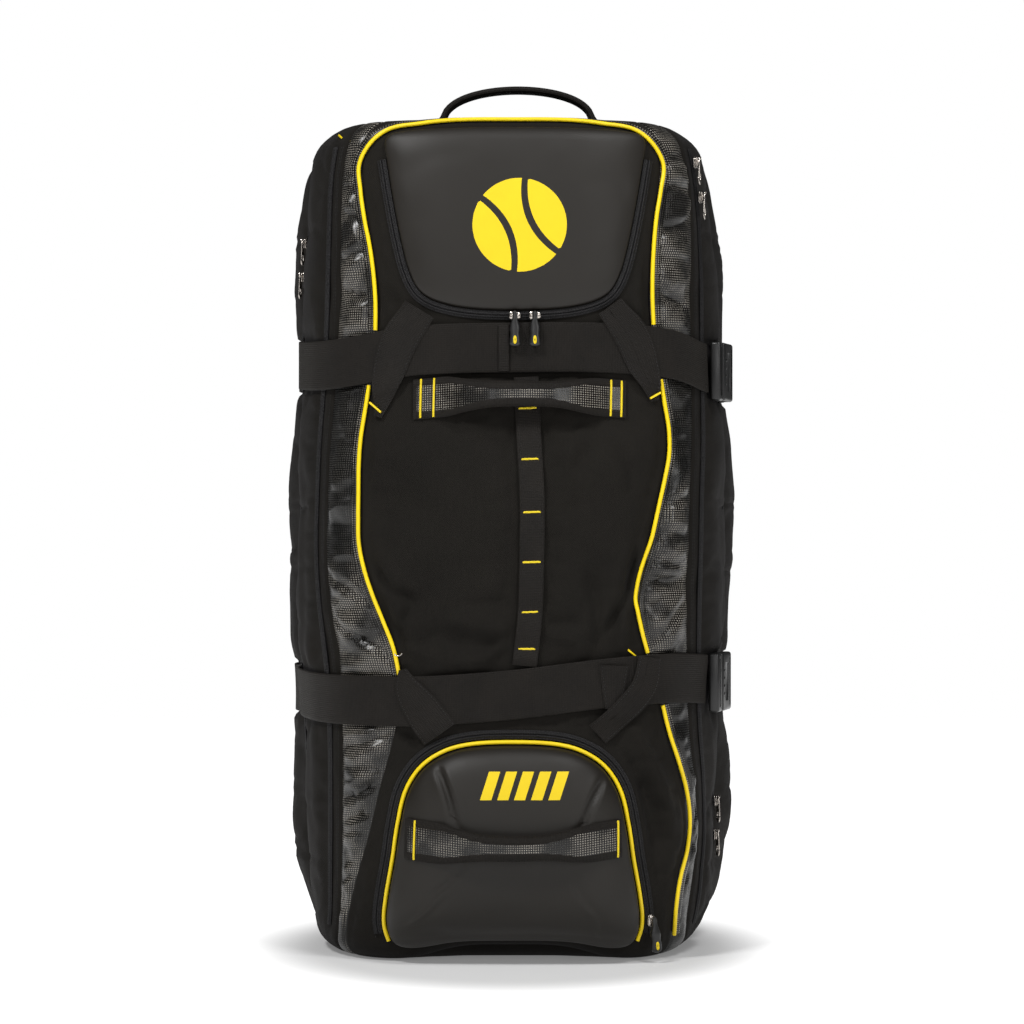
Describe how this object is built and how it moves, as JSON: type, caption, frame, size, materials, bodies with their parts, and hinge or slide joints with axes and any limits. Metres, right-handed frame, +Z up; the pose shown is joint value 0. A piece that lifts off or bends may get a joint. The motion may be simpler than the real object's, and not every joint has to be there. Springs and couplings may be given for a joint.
{
  "type": "upright cricket kit bag",
  "caption": "Tall soft kit bag with a padded zip lid, a domed lower pocket, mesh gussets, buckled compression straps and carry handles.",
  "frame": {"origin": "centre of the flat base, on the floor", "axes": "+Z up, the front faces -Y, +X to the right as seen from the front"},
  "size_m": [0.4699, 0.3902, 0.8973],
  "materials": {
    "polyester": "woven black polyester",
    "coated": "smooth coated charcoal cloth",
    "mesh_cloth": "coated cloth embossed as mesh, with grey dots",
    "webbing": "ribbed black webbing",
    "piping": "yellow vinyl cord",
    "zip_tape": "black zip tape with a nylon coil",
    "plastic": "moulded black plastic",
    "nickel": "nickel plate"
  },
  "bodies": {
    "root": {"front_panel": "polyester", "side_panel_left": "polyester", "side_panel_right": "polyester", "rear_band_left": "polyester", "rear_band_right": "polyester", "back_panel": "polyester", "top_panel": "polyester", "base_panel": "polyester", "lid_panel": "coated", "pocket_panel": "coated", "mesh_gusset_left": "mesh_cloth", "mesh_gusset_right": "mesh_cloth", "piping_lid": "piping", "piping_left": "piping", "piping_right_upper": "piping", "piping_right_lower": "piping", "piping_pocket": "piping", "lid_zip": "zip_tape", "pocket_zip": "zip_tape", "side_zip_left": "zip_tape", "side_zip_right": "zip_tape", "rear_zip_left": "zip_tape", "rear_zip_right": "zip_tape", "strap_upper_front": "webbing", "strap_upper_rear": "webbing", "strap_lower_front": "webbing", "strap_lower_rear": "webbing", "strap_keeper": "webbing", "strap_loop": "webbing", "brace_upper_left": "webbing", "brace_upper_right": "webbing", "brace_lower_left": "webbing", "brace_lower_right": "webbing", "daisy_chain": "webbing", "front_handle": "webbing", "pocket_handle": "webbing", "top_handle": "webbing", "buckle_upper_socket": "plastic", "buckle_upper_plug": "plastic", "buckle_lower_socket": "plastic", "buckle_lower_plug": "plastic", "zip_pull_lid_left": "plastic", "zip_pull_lid_right": "plastic", "zip_pull_pocket": "plastic", "zip_slider_lid_left": "nickel", "zip_slider_lid_right": "nickel", "zip_slider_pocket": "nickel", "zip_slider_left_1": "nickel", "zip_slider_left_2": "nickel", "zip_pull_left_1": "nickel", "zip_pull_left_2": "nickel", "zip_slider_right_top_1": "nickel", "zip_slider_right_top_2": "nickel", "zip_pull_right_top_1": "nickel", "zip_pull_right_top_2": "nickel", "zip_slider_right_low_1": "nickel", "zip_slider_right_low_2": "nickel", "zip_pull_right_low_1": "nickel", "zip_pull_right_low_2": "nickel"}
  },
  "joints": []
}
